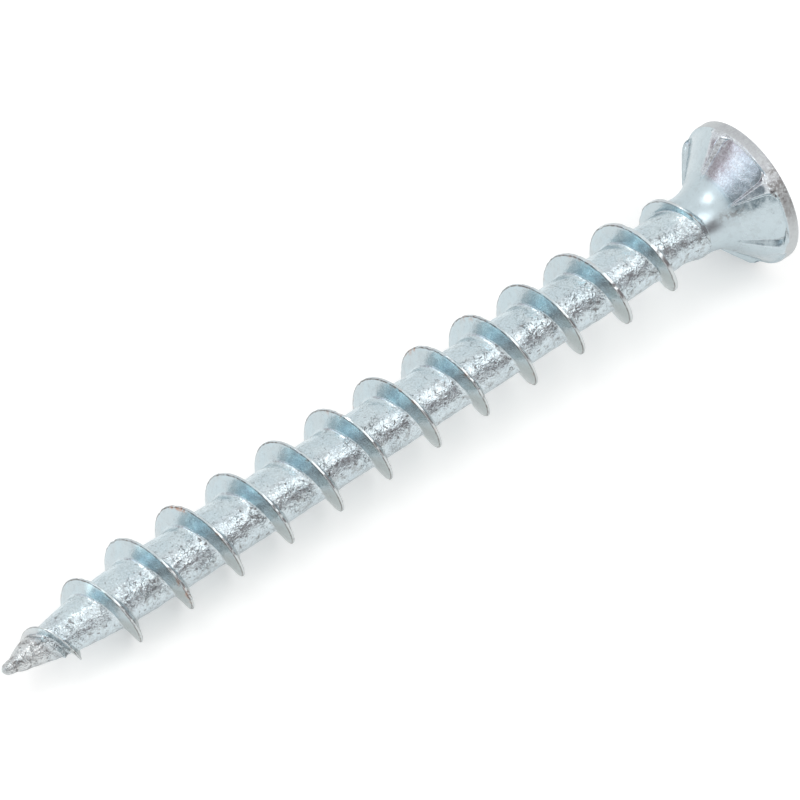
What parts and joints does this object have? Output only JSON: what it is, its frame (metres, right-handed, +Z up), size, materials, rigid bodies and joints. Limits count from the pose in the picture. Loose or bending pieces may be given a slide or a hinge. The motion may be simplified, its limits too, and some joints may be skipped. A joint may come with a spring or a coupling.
{
  "type": "self-tapping screw",
  "caption": "Self-tapping countersunk wood screw with a coarse full-length right-hand thread, slim point, milling ribs under the head and a six-lobe drive recess",
  "frame": {"origin": "on the floor, centred under the lying screw", "axes": "+X from the point to the head, along the lying screw, and +Z up from the floor"},
  "size_m": [0.0502, 0.0084, 0.0085],
  "materials": {
    "steel": "bright blue-white zinc plating"
  },
  "bodies": {
    "root": {"screw": "steel"}
  },
  "joints": []
}
